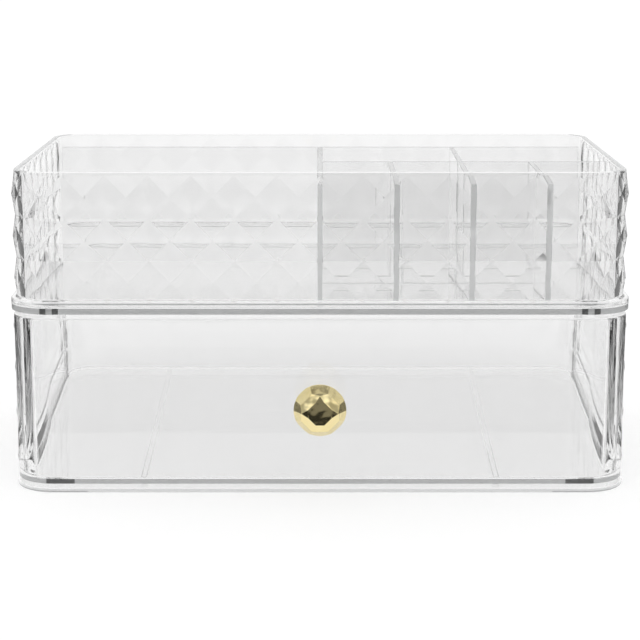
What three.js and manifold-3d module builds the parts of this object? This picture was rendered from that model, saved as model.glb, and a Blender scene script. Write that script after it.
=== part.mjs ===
// Clear acrylic vanity organizer: a case with one full-width drawer, and an open divided tray stacked on it.
// Millimetres, +Z up, front at -Y. The origin is the centre of the case in plan, on the surface it stands on.

import * as THREE from "three";
import { mergeVertices } from "three/addons/utils/BufferGeometryUtils.js";
import Module from "manifold-3d";

const wasm = await Module();
wasm.setup();

// Case: floor, faceted wall round the sides and back, and top plate with a stacking rim
const caseWidth = 240;
const caseDepth = 140;
const caseCornerRadius = 16;
const caseBaseThickness = 1.6;
const caseBaseChamfer = 0.7;
const caseWallThickness = 2.1;
const caseClearHeight = 69.1;
const caseTopThickness = 2.5;
const caseEdgeBreak = 0.3;
const stackRimHeight = 2.3;
const stackRimWidth = 2;
const stackRimDraft = 0.5;

// Facets: a square grid of shallow pyramids that stand out from a wall
const caseFacetPitch = 17;
const caseFacetRise = 1.2;
const caseRowShares = [0, 0.26, 0.52, 0.78, 1];
const trayFacetPitch = 16.3;
const trayFacetRise = 1.2;
const trayRowHeight = 16.4;
const trayRowCount = 3;

// Runner strips that carry the drawer
const railSpacing = 138;
const railWidth = 2.3;
const railHeight = 1.6;
const railFrontInset = 3;
const railRearGap = 0.3;

// Drawer
const drawerRunningGap = 0.3;
const drawerSideGap = 0.6;
const drawerRearGap = 1;
const drawerTopGap = 1.7;
const drawerFrontInset = 0.6;
const drawerFloorThickness = 2;
const drawerWallThickness = 2;
const fasciaThickness = 2.4;
const fasciaSideInset = 0.9;
const fasciaCornerRadius = 15;
const fasciaReturn = 16.6;
const fasciaEdgeBreak = 0.4;
const wallEndGap = 0.5;

// Knob, and the screw and washer that hold it
const knobRadius = 10.1;
const knobHeightShare = 0.48;
const knobCollarRadius = 4.6;
const knobCollarLength = 1.4;
const knobConeLength = 5.2;
const knobGirdleLength = 1;
const tableRadiusShare = 0.47;
const tipRadiusShare = 0.7;
const shoulderRadiusShare = 0.79;
const tableDropSlopeShare = 0.625;
const tableCornerAngle = THREE.MathUtils.degToRad(20);
const screwDiameter = 3;
const screwPlay = 0.15;
const screwReach = 8;
const boreReach = 9;
const screwHeadDiameter = 6;
const screwHeadHeight = 2.1;
const screwRecessWidth = 0.7;
const screwRecessLength = 3.2;
const screwRecessDepth = 1.1;
const washerDiameter = 8;
const washerThickness = 0.8;

// Tray
const trayFootPlay = 1.2;
const trayWallThickness = 2.1;
const trayFloorThickness = 2;
const trayFootInset = 1.1;
const trayFootHeight = 1.2;
const trayRimHeight = 1.2;
const trayEdgeBreak = 0.3;
const trayStackGap = 0.3;

// Partitions and dividers of the tray: plates that stand on its floor
const plateThickness = 2.1;
const plateDrop = 4.8;
const plateEndGap = 0.3;
const halvingPlay = 0.15;
const frontCellDepth = 34.7;
const middleCellDepth = 31.9;
const rearSlotWidth = 7.6;

// How finely round shapes are cut, and how far a cutting solid runs past what it cuts
const cornerSteps = 10;
const roundSteps = 48;
const overrun = 5;

// Materials
const clearAcrylic = new THREE.MeshStandardMaterial({
  color: "#eef1f1",
  roughness: 0.04,
  metalness: 0,
  transparent: true,
  opacity: 0.3,
});
const goldPlate = new THREE.MeshStandardMaterial({ color: "#d8c47c", roughness: 0.08, metalness: 1 });
const zincPlate = new THREE.MeshStandardMaterial({ color: "#b9bcc0", roughness: 0.3, metalness: 1 });

// Solid tools

/** Closed three.js geometry as a solid that can be cut and joined. */
function toSolid(geometry) {
  const bare = geometry.clone();
  bare.deleteAttribute("normal");
  bare.deleteAttribute("uv");
  const merged = mergeVertices(bare);
  const vertProperties = new Float32Array(merged.getAttribute("position").array);
  const triVerts = new Uint32Array(merged.getIndex().array);
  return new wasm.Manifold(new wasm.Mesh({ numProp: 3, vertProperties, triVerts }));
}

/** Solid back to a three.js mesh with a name and a material. */
function toMesh(name, solid, material) {
  const data = solid.getMesh();
  const geometry = new THREE.BufferGeometry();
  geometry.setAttribute("position", new THREE.BufferAttribute(data.vertProperties, data.numProp));
  geometry.setIndex(new THREE.BufferAttribute(data.triVerts, 1));
  geometry.computeVertexNormals();
  const mesh = new THREE.Mesh(geometry, material);
  mesh.name = name;
  return mesh;
}

/** Closed geometry from a list of [x, y, z] points and triangles that face out. */
function fromTriangles(points, triangles) {
  const geometry = new THREE.BufferGeometry();
  geometry.setAttribute("position", new THREE.Float32BufferAttribute(points.flat(), 3));
  geometry.setIndex(triangles.flat());
  return geometry;
}

/** Box between two corners. */
function boxBetween(low, high) {
  const size = high.map((value, axis) => value - low[axis]);
  const middle = high.map((value, axis) => (value + low[axis]) / 2);
  return toSolid(new THREE.BoxGeometry(...size).translate(...middle));
}

/** Turned solid whose axis runs along -Y from the origin, from [radius, distance] pairs that start and end at 0. */
function turned(profile) {
  const points = profile.map(([radius, distance]) => new THREE.Vector2(radius, distance));
  return toSolid(new THREE.LatheGeometry(points, roundSteps).rotateX(Math.PI));
}

/** Rounded rectangle in plan: its own width, depth and corner radius, and the place of its centre along Y. */
function plan(width, depth, radius, centreY = 0) {
  return { width, depth, radius, centreY };
}

/** The same plan drawn in by a distance on every side. */
function inset(shape, distance) {
  return plan(
    shape.width - 2 * distance,
    shape.depth - 2 * distance,
    shape.radius - distance,
    shape.centreY,
  );
}

/** Corner points of a rounded rectangle, counterclockwise, with its four corners as arcs. */
function planPoints(shape) {
  const points = [];
  for (let corner = 0; corner < 4; corner += 1) {
    const signX = corner === 0 || corner === 3 ? 1 : -1;
    const signY = corner < 2 ? 1 : -1;
    const centreX = signX * (shape.width / 2 - shape.radius);
    const centreY = shape.centreY + signY * (shape.depth / 2 - shape.radius);
    for (let step = 0; step <= cornerSteps; step += 1) {
      const angle = ((corner + step / cornerSteps) * Math.PI) / 2;
      points.push([
        centreX + shape.radius * Math.cos(angle),
        centreY + shape.radius * Math.sin(angle),
      ]);
    }
  }
  return points;
}

/** Solid through a stack of plans, each at its own height, lowest first. */
function stacked(levels) {
  const rings = levels.map(([height, shape]) => planPoints(shape).map(([x, y]) => [x, y, height]));
  const count = rings[0].length;
  const points = rings.flat();
  const triangles = [];
  for (let level = 0; level + 1 < rings.length; level += 1) {
    for (let index = 0; index < count; index += 1) {
      const next = (index + 1) % count;
      const a = level * count + index;
      const b = level * count + next;
      triangles.push([a, b, b + count], [a, b + count, a + count]);
    }
  }
  const lower = points.push([0, levels[0][1].centreY, levels[0][0]]) - 1;
  const upper = points.push([0, levels.at(-1)[1].centreY, levels.at(-1)[0]]) - 1;
  const last = (rings.length - 1) * count;
  for (let index = 0; index < count; index += 1) {
    const next = (index + 1) % count;
    triangles.push([lower, next, index], [upper, last + index, last + next]);
  }
  return toSolid(fromTriangles(points, triangles));
}

/** Straight slab of one plan between two heights. */
function slab(shape, bottom, top) {
  return stacked([
    [bottom, shape],
    [top, shape],
  ]);
}

/** Length once round a rounded rectangle. */
function girth(shape) {
  const straight = 2 * (shape.width + shape.depth) - 8 * shape.radius;
  return straight + 2 * Math.PI * shape.radius;
}

/** Point and outward direction on a plan, at a distance counterclockwise from the middle of its front side. */
function pointRound(shape, distance) {
  const across = shape.width / 2 - shape.radius;
  const along = shape.depth / 2 - shape.radius;
  const arc = (Math.PI / 2) * shape.radius;
  const sides = [
    [across, 2 * along],
    [2 * along, 2 * across],
    [2 * across, 2 * along],
    [2 * along, across],
  ];
  const corners = [
    [across, -along],
    [across, along],
    [-across, along],
    [-across, -along],
  ];
  let left = distance;
  for (let side = 0; side < 4; side += 1) {
    const turn = (side * Math.PI) / 2;
    const straight = sides[side][0];
    const [cornerX, cornerY] = corners[side];
    if (left <= straight || left <= straight + arc) {
      const onArc = Math.max(0, left - straight);
      const angle = turn - Math.PI / 2 + onArc / shape.radius;
      const back = Math.max(0, straight - left);
      const outX = Math.cos(angle);
      const outY = Math.sin(angle);
      return {
        x: cornerX + shape.radius * outX - back * Math.cos(turn),
        y: shape.centreY + cornerY + shape.radius * outY - back * Math.sin(turn),
        outX,
        outY,
      };
    }
    left -= straight + arc;
  }
  return { x: left - across, y: shape.centreY - shape.depth / 2, outX: 0, outY: -1 };
}

/** Prism over a plan whose side is a grid of shallow pyramids between the given heights. */
function facetedPrism(shape, heights, pitch, rise) {
  const length = girth(shape);
  const columns = 2 * Math.round(length / pitch / 2);
  const steps = 2 * columns;
  const points = [];
  for (const height of heights) {
    for (let step = 0; step < steps; step += 1) {
      const at = pointRound(shape, (step * length) / steps);
      points.push([at.x, at.y, height]);
    }
  }
  const triangles = [];
  for (let row = 0; row + 1 < heights.length; row += 1) {
    for (let column = 0; column < columns; column += 1) {
      const at = pointRound(shape, ((2 * column + 1) * length) / steps);
      const peakHeight = (heights[row] + heights[row + 1]) / 2;
      const peak = points.push([at.x + rise * at.outX, at.y + rise * at.outY, peakHeight]) - 1;
      const below = [0, 1, 2].map((k) => row * steps + ((2 * column + k) % steps));
      const above = below.map((index) => index + steps);
      const loop = [...below, ...above.reverse()];
      loop.forEach((index, k) => triangles.push([peak, index, loop[(k + 1) % loop.length]]));
    }
  }
  const lower = points.push([0, shape.centreY, heights[0]]) - 1;
  const upper = points.push([0, shape.centreY, heights.at(-1)]) - 1;
  const last = (heights.length - 1) * steps;
  for (let step = 0; step < steps; step += 1) {
    const next = (step + 1) % steps;
    triangles.push([lower, next, step], [upper, last + step, last + next]);
  }
  return toSolid(fromTriangles(points, triangles));
}

// Shared places of the case

const casePlan = plan(caseWidth, caseDepth, caseCornerRadius);
const caseWallPlan = inset(casePlan, caseFacetRise);
const caseRoomPlan = inset(caseWallPlan, caseWallThickness);
const caseCeiling = caseBaseThickness + caseClearHeight;
const caseTopSurface = caseCeiling + caseTopThickness;
const caseHeight = caseTopSurface + stackRimHeight;
const drawerFront = -caseDepth / 2 + drawerFrontInset;
const fasciaRear = drawerFront + fasciaReturn;
const caseWallFront = fasciaRear + wallEndGap;
const railTop = caseBaseThickness + railHeight;
const drawerBottom = railTop + drawerRunningGap;
const drawerTop = caseCeiling - drawerTopGap;

/** Floor moulding of the case, its lower edge broken all round. */
function makeCaseBase() {
  const solid = stacked([
    [0, inset(casePlan, caseBaseChamfer + caseEdgeBreak)],
    [caseBaseChamfer, inset(casePlan, caseEdgeBreak)],
    [caseBaseThickness, inset(casePlan, caseEdgeBreak)],
  ]);
  return toMesh("case_base", solid, clearAcrylic);
}

/** Faceted wall of the case: both sides and the back in one, open to the front. */
function makeCaseWall() {
  const heights = caseRowShares.map((share) => caseBaseThickness + share * caseClearHeight);
  const prism = facetedPrism(caseWallPlan, heights, caseFacetPitch, caseFacetRise);
  const room = slab(caseRoomPlan, caseBaseThickness - overrun, caseCeiling + overrun);
  const front = boxBetween(
    [-caseWidth, -caseDepth, caseBaseThickness - overrun],
    [caseWidth, caseWallFront, caseCeiling + overrun],
  );
  return toMesh("case_wall", prism.subtract(room).subtract(front), clearAcrylic);
}

/** Top plate of the case with the rim that keeps the tray in place. */
function makeCaseTop() {
  const body = stacked([
    [caseCeiling, inset(casePlan, caseEdgeBreak)],
    [caseCeiling + caseEdgeBreak, casePlan],
    [caseHeight - caseEdgeBreak, casePlan],
    [caseHeight, inset(casePlan, caseEdgeBreak)],
  ]);
  const recess = stacked([
    [caseTopSurface, inset(casePlan, stackRimWidth + stackRimDraft)],
    [caseHeight, inset(casePlan, stackRimWidth)],
    [caseHeight + overrun, inset(casePlan, stackRimWidth)],
  ]);
  return toMesh("case_top", body.subtract(recess), clearAcrylic);
}

/** Runner strip on the case floor; side is -1 on the left and 1 on the right. */
function makeRail(name, side) {
  const front = drawerFront + fasciaThickness + railFrontInset;
  const rear = caseDepth / 2 - caseFacetRise - caseWallThickness - railRearGap;
  const centre = (side * railSpacing) / 2;
  const solid = boxBetween(
    [centre - railWidth / 2, front, caseBaseThickness],
    [centre + railWidth / 2, rear, railTop],
  );
  return toMesh(name, solid, clearAcrylic);
}

// Drawer: the part behind the fascia fits between the case walls, and the fascia closes the case front

const tubRear = caseDepth / 2 - caseFacetRise - caseWallThickness - drawerRearGap;
const tubWidth = caseRoomPlan.width - 2 * drawerSideGap;
const tubRadius = caseRoomPlan.radius - drawerSideGap;
const fasciaWidth = caseWidth - 2 * fasciaSideInset;
const cavityFront = drawerFront + fasciaThickness;
const knobHeight = drawerBottom + knobHeightShare * (drawerTop - drawerBottom);
const boreDiameter = screwDiameter + 2 * screwPlay;

/** Clear drawer in one moulding, with the hole for the knob screw. */
function makeDrawerBox() {
  const tubDepth = tubRear - drawerFront;
  const tubPlan = plan(tubWidth, tubDepth, tubRadius, (tubRear + drawerFront) / 2);
  const fasciaDepth = 2 * fasciaReturn + fasciaCornerRadius;
  const fasciaPlan = plan(
    fasciaWidth,
    fasciaDepth,
    fasciaCornerRadius,
    drawerFront + fasciaDepth / 2,
  );
  const fascia = stacked([
    [drawerBottom, inset(fasciaPlan, fasciaEdgeBreak)],
    [drawerBottom + fasciaEdgeBreak, fasciaPlan],
    [drawerTop - fasciaEdgeBreak, fasciaPlan],
    [drawerTop, inset(fasciaPlan, fasciaEdgeBreak)],
  ]);
  const behind = boxBetween(
    [-caseWidth, fasciaRear, drawerBottom - overrun],
    [caseWidth, caseDepth, drawerTop + overrun],
  );
  const front = boxBetween(
    [-caseWidth, -caseDepth, drawerBottom - overrun],
    [caseWidth, cavityFront, drawerTop + overrun],
  );
  const tub = slab(tubPlan, drawerBottom, drawerTop).subtract(front);
  const cavityDepth = tubRear - drawerWallThickness - cavityFront;
  const cavityPlan = plan(
    tubWidth - 2 * drawerWallThickness,
    cavityDepth,
    tubRadius - drawerWallThickness,
    cavityFront + cavityDepth / 2,
  );
  const cavity = slab(cavityPlan, drawerBottom + drawerFloorThickness, drawerTop + overrun);
  const hole = turned([
    [0, -overrun],
    [boreDiameter / 2, -overrun],
    [boreDiameter / 2, overrun],
    [0, overrun],
  ]).translate([0, drawerFront, knobHeight]);
  const solid = fascia.subtract(behind).add(tub).subtract(cavity).subtract(hole);
  return toMesh("drawer_box", solid, clearAcrylic);
}

// Knob: a round body whose crown is cut with a table, four main faces and the small faces between them

/** Crown of the knob, as a faceted block wider than the knob, with its table at height zero. */
function makeCrownBlock() {
  const radius = knobRadius;
  const diagonal = Math.PI / 4;
  const tableReach = tableRadiusShare * Math.cos(diagonal - tableCornerAngle);
  const dropAt = (reachShare) => tableDropSlopeShare * (reachShare - tableReach);
  const tipDrop = dropAt(tipRadiusShare * Math.cos(diagonal));
  const shoulderDrop = dropAt(shoulderRadiusShare * Math.cos(diagonal / 2));
  const shoulderX = shoulderRadiusShare * Math.cos(diagonal / 2);
  const shoulderY = shoulderRadiusShare * Math.sin(diagonal / 2);
  const skew = (1 - Math.cos(diagonal / 2)) / Math.sin(diagonal / 2);
  const steepness = (shoulderDrop - tipDrop) / (shoulderX - tipRadiusShare + skew * shoulderY);
  const girdleDrop = tipDrop + steepness * (1 - tipRadiusShare);
  const point = (radiusShare, angle, dropShare) => [
    radius * radiusShare * Math.cos(angle),
    radius * radiusShare * Math.sin(angle),
    -radius * dropShare,
  ];
  const beyond = (from, to) => to.map((value, axis) => value + (value - from[axis]) / 2);
  const points = [];
  const add = (entry) => points.push(entry) - 1;
  const quarters = [0, 1, 2, 3].map((quarter) => {
    const turn = (quarter * Math.PI) / 2;
    const tip = point(tipRadiusShare, turn, tipDrop);
    const rightShoulder = point(shoulderRadiusShare, turn - diagonal / 2, shoulderDrop);
    const leftShoulder = point(shoulderRadiusShare, turn + diagonal / 2, shoulderDrop);
    const girdle = point(1, turn, girdleDrop);
    const rightGirdle = point(1, turn - diagonal / 2, girdleDrop);
    const leftGirdle = point(1, turn + diagonal / 2, girdleDrop);
    return {
      rightTable: add(point(tableRadiusShare, turn - tableCornerAngle, 0)),
      leftTable: add(point(tableRadiusShare, turn + tableCornerAngle, 0)),
      tip: add(tip),
      rightShoulder: add(rightShoulder),
      leftShoulder: add(leftShoulder),
      outer: add(beyond(tip, girdle)),
      rightOuter: add(beyond(rightShoulder, rightGirdle)),
      leftOuter: add(beyond(leftShoulder, leftGirdle)),
    };
  });
  const top = add([0, 0, 0]);
  const bottom = add([0, 0, -2 * radius]);
  const triangles = [];
  const fan = (...loop) => {
    for (let k = 1; k + 1 < loop.length; k += 1) {
      triangles.push([loop[0], loop[k], loop[k + 1]]);
    }
  };
  quarters.forEach((here, index) => {
    const next = quarters[(index + 1) % quarters.length];
    fan(top, here.rightTable, here.leftTable);
    fan(top, here.leftTable, next.rightTable);
    fan(here.rightTable, here.tip, here.leftTable);
    fan(here.leftTable, here.tip, here.leftShoulder, next.rightShoulder, next.tip, next.rightTable);
    fan(here.tip, here.rightShoulder, here.rightOuter, here.outer);
    fan(here.tip, here.outer, here.leftOuter, here.leftShoulder);
    fan(here.leftShoulder, here.leftOuter, next.rightOuter, next.rightShoulder);
    const rim = [here.rightOuter, here.outer, here.leftOuter, next.rightOuter];
    for (let k = 0; k + 1 < rim.length; k += 1) {
      triangles.push([bottom, rim[k + 1], rim[k]]);
    }
  });
  return { solid: toSolid(fromTriangles(points, triangles)), height: radius * girdleDrop };
}

/** Gold knob with its blind bore, its back on the drawer front. */
function makeKnob() {
  const crown = makeCrownBlock();
  const girdle = knobCollarLength + knobConeLength;
  const length = girdle + knobGirdleLength + crown.height;
  const body = turned([
    [0, 0],
    [knobCollarRadius, 0],
    [knobCollarRadius, knobCollarLength],
    [knobRadius, girdle],
    [knobRadius, length],
    [0, length],
  ]);
  const bore = turned([
    [0, -overrun],
    [boreDiameter / 2, -overrun],
    [boreDiameter / 2, boreReach],
    [0, boreReach],
  ]);
  const cut = crown.solid.rotate([90, 0, 0]).translate([0, -length, 0]);
  const mesh = toMesh("drawer_knob", body.intersect(cut).subtract(bore), goldPlate);
  mesh.position.set(0, drawerFront, knobHeight);
  return mesh;
}

/** Flat washer between the screw head and the inside of the fascia. */
function makeWasher() {
  const disc = turned([
    [0, -washerThickness],
    [washerDiameter / 2, -washerThickness],
    [washerDiameter / 2, 0],
    [0, 0],
  ]);
  const hole = turned([
    [0, -overrun],
    [boreDiameter / 2, -overrun],
    [boreDiameter / 2, overrun],
    [0, overrun],
  ]);
  const mesh = toMesh("knob_washer", disc.subtract(hole), zincPlate);
  mesh.position.set(0, cavityFront, knobHeight);
  return mesh;
}

/** Pan-head screw from inside the drawer into the knob, with a cross recess. */
function makeScrew() {
  const headBack = -washerThickness - screwHeadHeight;
  const tip = fasciaThickness + screwReach;
  const body = turned([
    [0, headBack],
    [screwHeadDiameter / 3, headBack],
    [screwHeadDiameter / 2, headBack + screwHeadHeight / 2],
    [screwHeadDiameter / 2, -washerThickness],
    [screwDiameter / 2, -washerThickness],
    [screwDiameter / 2, tip - screwDiameter / 4],
    [screwDiameter / 4, tip],
    [0, tip],
  ]);
  const slotFloor = -headBack - screwRecessDepth;
  const slot = boxBetween(
    [-screwRecessLength / 2, slotFloor, -screwRecessWidth / 2],
    [screwRecessLength / 2, -headBack + overrun, screwRecessWidth / 2],
  );
  const cross = slot.add(slot.rotate([0, 90, 0]));
  const mesh = toMesh("knob_screw", body.subtract(cross), zincPlate);
  mesh.position.set(0, cavityFront, knobHeight);
  return mesh;
}

// Tray, in its own frame with its floor at height zero

const trayFootPlan = inset(casePlan, stackRimWidth + stackRimDraft + trayFootPlay);
const trayWallPlan = inset(trayFootPlan, -trayFootInset);
const trayRoomPlan = inset(trayWallPlan, trayWallThickness);
const trayRowsTop = trayFootHeight + trayRowCount * trayRowHeight;
const trayHeight = trayRowsTop + trayRimHeight;
const plateBottom = trayFloorThickness;
const plateTop = trayHeight - plateDrop;
const plateMiddle = (plateBottom + plateTop) / 2;
const roomFront = -trayRoomPlan.depth / 2;
const roomRear = trayRoomPlan.depth / 2;
const roomSide = trayRoomPlan.width / 2;
const frontPartitionFront = roomFront + frontCellDepth;
const middlePartitionFront = frontPartitionFront + plateThickness + middleCellDepth;
const rearPartitionFront = roomRear - rearSlotWidth - plateThickness;
const dividerCount = 4;
const dividerSpacing = (roomSide + plateThickness / 2) / dividerCount;

/** Tray moulding: foot, faceted wall and smooth rim, with its room cut out down to the floor. */
function makeTrayShell() {
  const heights = [];
  for (let row = 0; row <= trayRowCount; row += 1) {
    heights.push(trayFootHeight + row * trayRowHeight);
  }
  const wall = facetedPrism(trayWallPlan, heights, trayFacetPitch, trayFacetRise);
  const foot = stacked([
    [0, inset(trayFootPlan, trayEdgeBreak)],
    [trayEdgeBreak, trayFootPlan],
    [trayFootHeight + trayFootInset, trayFootPlan],
  ]);
  const rim = stacked([
    [trayRowsTop - trayRimHeight, trayWallPlan],
    [trayHeight - trayEdgeBreak, trayWallPlan],
    [trayHeight, inset(trayWallPlan, trayEdgeBreak)],
  ]);
  const room = slab(trayRoomPlan, trayFloorThickness, trayHeight + overrun);
  return toMesh("tray_shell", wall.add(foot).add(rim).subtract(room), clearAcrylic);
}

/** Half width of the tray's room at a distance from its middle towards the rear. */
function roomHalfWidthAt(y) {
  const into = Math.max(0, y - (roomRear - trayRoomPlan.radius));
  const drawnIn = trayRoomPlan.radius - Math.sqrt(trayRoomPlan.radius ** 2 - into ** 2);
  return roomSide - drawnIn;
}

/** Full-width plate near the back of the tray, which leaves a narrow slot behind it. */
function makeRearPartition() {
  const rear = rearPartitionFront + plateThickness;
  const half = roomHalfWidthAt(rear) - plateEndGap;
  const solid = boxBetween([-half, rearPartitionFront, plateBottom], [half, rear, plateTop]);
  return toMesh("rear_partition", solid, clearAcrylic);
}

/** Cross plate between two places along X, slotted from below where it crosses a divider. */
function makeCrossPartition(name, front, left, right, crossings) {
  let solid = boxBetween([left, front, plateBottom], [right, front + plateThickness, plateTop]);
  for (const centre of crossings) {
    const halfSlot = plateThickness / 2 + halvingPlay;
    const slot = boxBetween(
      [centre - halfSlot, front - overrun, plateBottom - overrun],
      [centre + halfSlot, front + plateThickness + overrun, plateMiddle + halvingPlay],
    );
    solid = solid.subtract(slot);
  }
  return toMesh(name, solid, clearAcrylic);
}

/** Front-to-back divider, slotted from above where a cross plate drops over it. */
function makeDivider(name, centre, rear, crossings) {
  const left = centre - plateThickness / 2;
  const right = centre + plateThickness / 2;
  let solid = boxBetween([left, roomFront, plateBottom], [right, rear, plateTop]);
  for (const front of crossings) {
    const slot = boxBetween(
      [left - overrun, front - halvingPlay, plateMiddle - halvingPlay],
      [right + overrun, front + plateThickness + halvingPlay, plateTop + overrun],
    );
    solid = solid.subtract(slot);
  }
  return toMesh(name, solid, clearAcrylic);
}

/** The case, which stays put. */
function makeCase() {
  const group = new THREE.Group();
  group.add(makeCaseBase(), makeCaseWall(), makeCaseTop());
  group.add(makeRail("rail_left", -1), makeRail("rail_right", 1));
  return group;
}

/** The drawer with its knob. */
function makeDrawer() {
  const group = new THREE.Group();
  group.add(makeDrawerBox(), makeKnob(), makeWasher(), makeScrew());
  return group;
}

/** The tray with its partitions and dividers, stacked on the case. */
function makeTray() {
  const group = new THREE.Group();
  const [first, second, third, fourth] = [0, 1, 2, 3].map((step) => step * dividerSpacing);
  const gridLeft = first + plateThickness / 2;
  group.add(makeTrayShell(), makeRearPartition());
  group.add(
    makeCrossPartition("middle_partition", middlePartitionFront, gridLeft, roomSide, [third]),
  );
  group.add(
    makeCrossPartition(
      "front_partition",
      frontPartitionFront,
      gridLeft,
      fourth - plateThickness / 2,
      [second, third],
    ),
  );
  group.add(makeDivider("divider_1", first, rearPartitionFront, []));
  group.add(makeDivider("divider_2", second, middlePartitionFront, [frontPartitionFront]));
  group.add(
    makeDivider("divider_3", third, rearPartitionFront, [
      frontPartitionFront,
      middlePartitionFront,
    ]),
  );
  group.add(makeDivider("divider_4", fourth, middlePartitionFront, []));
  group.position.z = caseTopSurface + trayStackGap;
  return group;
}

const organizer = new THREE.Group();
organizer.add(makeCase(), makeDrawer(), makeTray());

export default organizer;
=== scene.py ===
"""Clear acrylic vanity organizer: a case with one full-width drawer, and an open divided tray stacked on it.

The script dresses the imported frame. Each moulding is rebuilt as a fine mesh at the place its CAD node has,
and gets the finish of the real material: clear mould-polished acrylic, pale gold plate or zinc plate.
"""

import logging
import math
from dataclasses import dataclass, field
from enum import Enum
from typing import Any, Sequence

import bpy
import numpy as np
from mathutils import Matrix, Vector


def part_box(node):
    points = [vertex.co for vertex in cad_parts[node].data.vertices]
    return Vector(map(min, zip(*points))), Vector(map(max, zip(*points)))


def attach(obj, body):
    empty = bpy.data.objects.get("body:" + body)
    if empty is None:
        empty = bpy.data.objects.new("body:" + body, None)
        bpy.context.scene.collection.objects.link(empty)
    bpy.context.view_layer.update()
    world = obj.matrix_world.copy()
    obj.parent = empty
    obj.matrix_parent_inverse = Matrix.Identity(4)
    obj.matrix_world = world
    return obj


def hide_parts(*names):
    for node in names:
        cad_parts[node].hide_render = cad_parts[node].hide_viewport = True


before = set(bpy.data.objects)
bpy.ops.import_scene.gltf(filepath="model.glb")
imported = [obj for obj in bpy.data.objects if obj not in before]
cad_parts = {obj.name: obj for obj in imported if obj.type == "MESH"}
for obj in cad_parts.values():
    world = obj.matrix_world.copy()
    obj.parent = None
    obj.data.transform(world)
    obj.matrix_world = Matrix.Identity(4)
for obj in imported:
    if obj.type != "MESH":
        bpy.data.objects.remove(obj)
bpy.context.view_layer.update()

LOG = logging.getLogger("organizer")
MM = 0.001
WHITE = "#ffffff"

Tree = bpy.types.NodeTree
Node = bpy.types.Node
Socket = bpy.types.NodeSocket
Material = bpy.types.Material
Piece = bpy.types.Object
Array = np.ndarray
FaceList = list[tuple[int, ...]]
Pair = tuple[float, float]
Triple = tuple[float, float, float]
Profile = list[Pair]

# Degrees: faces that meet at more than this stay crisp
CRISP_MOULDING = 35
CRISP_FACETS = 8
CRISP_PLATE = 40

# How far a face's normal points along an axis: straight along it, leaning to it, or beside it
STRAIGHT = 0.9
LEANING = 0.25
BESIDE = 0.5

# Millimetres: how far below a moulding's highest point its level rim may lie
RIM_DEPTH = 0.1


class Body(str, Enum):
    """Names of the bodies that pieces ride on."""

    CASE = "case"
    DRAWER = "drawer"
    TRAY = "tray"


class Slot(str, Enum):
    """Names of the record's material slots."""

    ACRYLIC = "clear_acrylic"
    GOLD = "gold_plate"
    ZINC = "zinc_plate"


class Corner(Enum):
    """A rounded edge between a wall and a level face.

    The values are its first and last angle, and 1 or -1 for a centre inward of the wall, and above the face.
    """

    OUT_BOTTOM = (-90, 0, 1, 1)
    OUT_TOP = (0, 90, 1, -1)
    IN_TOP = (90, 180, -1, -1)
    IN_BOTTOM = (0, -90, 1, 1)


# Colour and node tools


def linear(hex_colour: str) -> tuple[float, float, float, float]:
    """Returns the linear red, green, blue and alpha of an sRGB colour, a hash sign and six hex digits."""
    channels = [int(hex_colour[k : k + 2], 16) / 255 for k in (1, 3, 5)]
    red, green, blue = (c / 12.92 if c <= 0.04045 else ((c + 0.055) / 1.055) ** 2.4 for c in channels)
    return (red, green, blue, 1.0)


def add_node(tree: Tree, kind: str, inputs: dict[Any, Any] | None = None, **settings: Any) -> Node:
    """Adds one node with its settings and links.

    Args:
        tree: the node tree to add to.
        kind: Blender's name of the node type, without ShaderNode in front.
        inputs: a value or a socket for each input, by its name or index.
        settings: properties by name.

    Returns:
        The new node.
    """
    node = tree.nodes.new(f"ShaderNode{kind}")
    for name, value in settings.items():
        setattr(node, name, value)
    for name, value in (inputs or {}).items():
        if isinstance(value, Socket):
            tree.links.new(value, node.inputs[name])
        else:
            node.inputs[name].default_value = value
    return node


def new_material(name: str) -> tuple[Material, Tree]:
    """Returns a new material and its empty node tree."""
    material = bpy.data.materials.new(name)
    material.use_nodes = True
    material.node_tree.nodes.clear()
    return material, material.node_tree


def noise(tree: Tree, size_mm: float, detail: float) -> Socket:
    """Returns a cloudy pattern from 0 to 1 that stays with the piece, its clouds about a size wide."""
    place = add_node(tree, "TexCoord").outputs["Object"]
    inputs = {"Vector": place, "Scale": 1 / (size_mm * MM), "Detail": detail}
    return add_node(tree, "TexNoise", inputs).outputs["Fac"]


def waves(tree: Tree, size_mm: float, strength: float, depth_mm: float) -> Socket:
    """Returns the normal of a surface with slow waves, about a size wide."""
    inputs = {"Height": noise(tree, size_mm, 1.0), "Strength": strength, "Distance": depth_mm * MM}
    return add_node(tree, "Bump", inputs).outputs["Normal"]


# Finishes


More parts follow.
